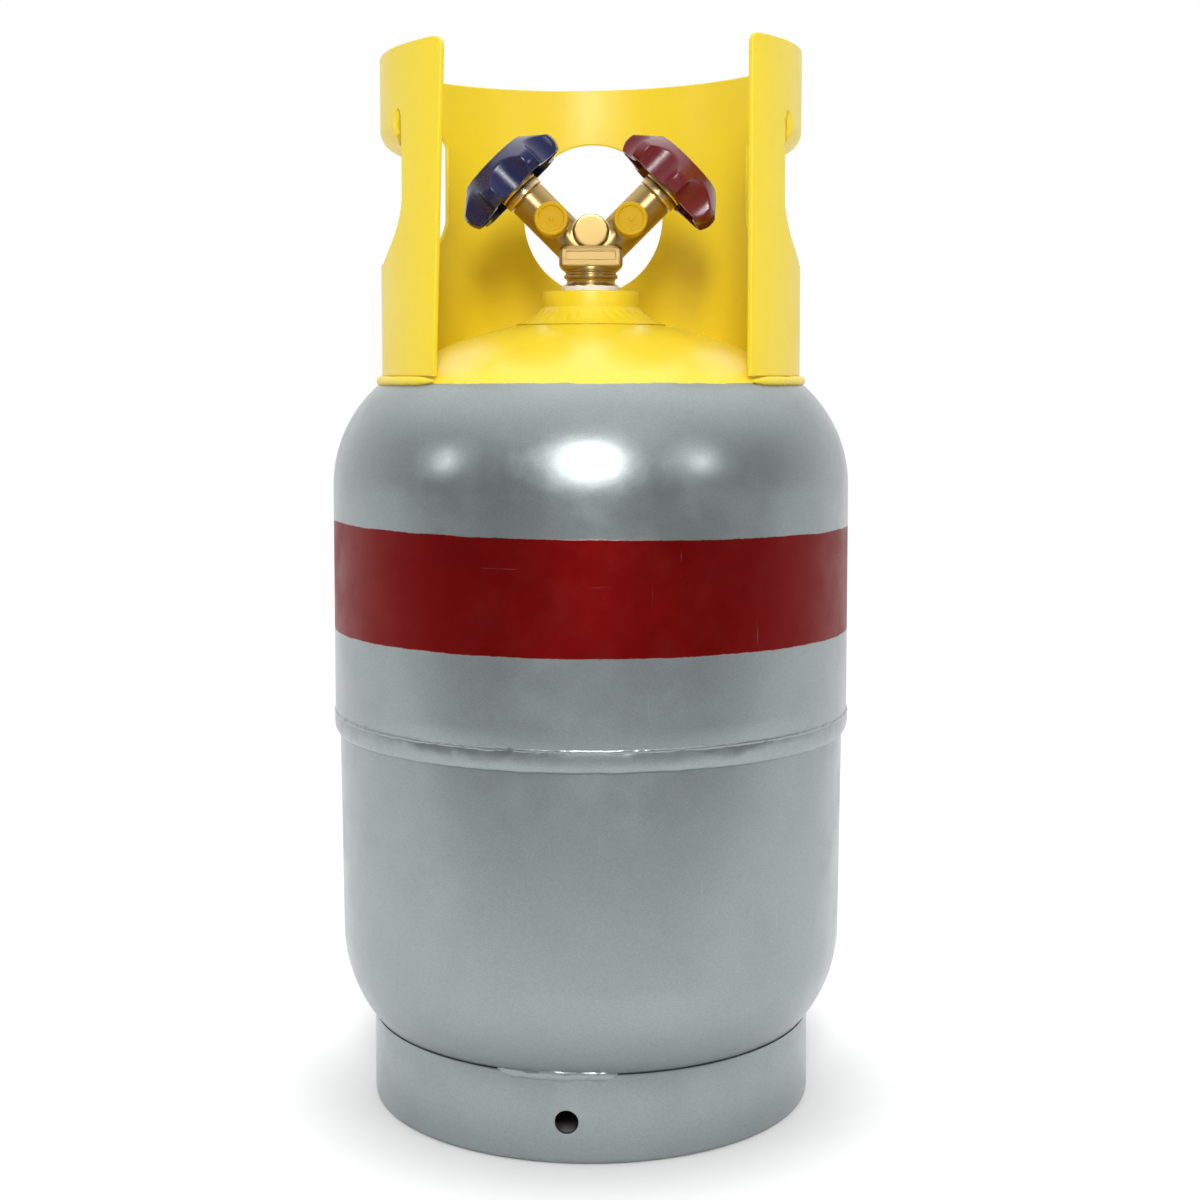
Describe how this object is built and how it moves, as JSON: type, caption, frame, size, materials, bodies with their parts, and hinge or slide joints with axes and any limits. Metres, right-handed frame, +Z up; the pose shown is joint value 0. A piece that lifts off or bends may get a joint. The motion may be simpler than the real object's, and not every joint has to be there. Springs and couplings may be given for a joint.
{
  "type": "refrigerant recovery cylinder",
  "caption": "Welded steel recovery cylinder with a foot ring, a valve guard with hand grips, and a brass Y valve with two turning handwheels and pull-off port caps.",
  "frame": {"origin": "middle of the circle that the foot ring stands on, at floor level", "axes": "+Z up along the cylinder, -Y towards the front, where the valve guard is open and the ports face, +X to the right of someone facing the ports"},
  "size_m": [0.2348, 0.2348, 0.4706],
  "materials": {
    "silver_paint": "silver-grey metallic enamel with a dull red band round the upper shell and a yellow crown",
    "yellow_paint": "satin yellow enamel",
    "forged_brass": "sand-blasted forged brass, machined where it is threaded",
    "machined_brass": "turned brass",
    "steel": "plain steel",
    "white_ptfe": "white PTFE",
    "blue_plastic": "semi-gloss moulded plastic",
    "red_plastic": "semi-gloss moulded plastic",
    "yellow_plastic": "soft moulded plastic"
  },
  "bodies": {
    "cylinder": {"upper_shell": "silver_paint", "lower_shell": "silver_paint", "girth_weld": "silver_paint", "valve_boss": "yellow_paint", "boss_weld": "yellow_paint", "foot_ring": "silver_paint", "foot_weld_front": "silver_paint", "foot_weld_left": "silver_paint", "foot_weld_right": "silver_paint", "collar": "yellow_paint", "collar_weld_left": "yellow_paint", "collar_weld_right": "yellow_paint", "collar_weld_rear": "yellow_paint", "valve_body": "forged_brass", "thread_tape": "white_ptfe", "dip_tube": "steel", "relief_body": "machined_brass", "relief_spring": "steel", "relief_retainer": "machined_brass", "bonnet_vapor": "machined_brass", "bonnet_liquid": "machined_brass", "packing_vapor": "white_ptfe", "packing_liquid": "white_ptfe", "gland_ring_vapor": "machined_brass", "gland_ring_liquid": "machined_brass"},
    "seat_disc_vapor": {"seat_disc_vapor": "white_ptfe"},
    "handwheel_vapor": {"stem_vapor": "steel", "handwheel_vapor": "blue_plastic", "wheel_washer_vapor": "steel", "wheel_screw_vapor": "steel"},
    "port_cap_vapor": {"port_cap_vapor": "yellow_plastic"},
    "seat_disc_liquid": {"seat_disc_liquid": "white_ptfe"},
    "handwheel_liquid": {"stem_liquid": "steel", "handwheel_liquid": "red_plastic", "wheel_washer_liquid": "steel", "wheel_screw_liquid": "steel"},
    "port_cap_liquid": {"port_cap_liquid": "yellow_plastic"},
    "relief_poppet": {"relief_poppet": "machined_brass"}
  },
  "joints": [
    {"name": "vapor_seat_lift", "type": "slide", "parent": "cylinder", "child": "seat_disc_vapor", "axis": [-0.7071, 0, 0.7071], "range_m": [0, 0.003]},
    {"name": "vapor_handwheel_turn", "type": "hinge", "parent": "seat_disc_vapor", "child": "handwheel_vapor", "pos_m": [-0.03535, 0, 0.41385], "axis": [-0.7071, 0, 0.7071], "range_deg": [0, 720]},
    {"name": "vapor_cap_pull", "type": "slide", "parent": "cylinder", "child": "port_cap_vapor", "axis": [0, -1, 0], "range_m": [0, 0.02]},
    {"name": "liquid_seat_lift", "type": "slide", "parent": "cylinder", "child": "seat_disc_liquid", "axis": [0.7071, 0, 0.7071], "range_m": [0, 0.003]},
    {"name": "liquid_handwheel_turn", "type": "hinge", "parent": "seat_disc_liquid", "child": "handwheel_liquid", "pos_m": [0.03535, 0, 0.41385], "axis": [0.7071, 0, 0.7071], "range_deg": [0, 720]},
    {"name": "liquid_cap_pull", "type": "slide", "parent": "cylinder", "child": "port_cap_liquid", "axis": [0, -1, 0], "range_m": [0, 0.02]},
    {"name": "relief_poppet_lift", "type": "slide", "parent": "cylinder", "child": "relief_poppet", "axis": [0, 1, 0], "range_m": [0, 0.0015], "stiffness_N_per_m": 1500, "springref_m": -0.004, "deforming": ["relief_spring"]}
  ],
  "couplings": [
    {"joint": "vapor_seat_lift", "follows": "vapor_handwheel_turn", "m_per_rad": 0.0002387},
    {"joint": "liquid_seat_lift", "follows": "liquid_handwheel_turn", "m_per_rad": 0.0002387}
  ]
}
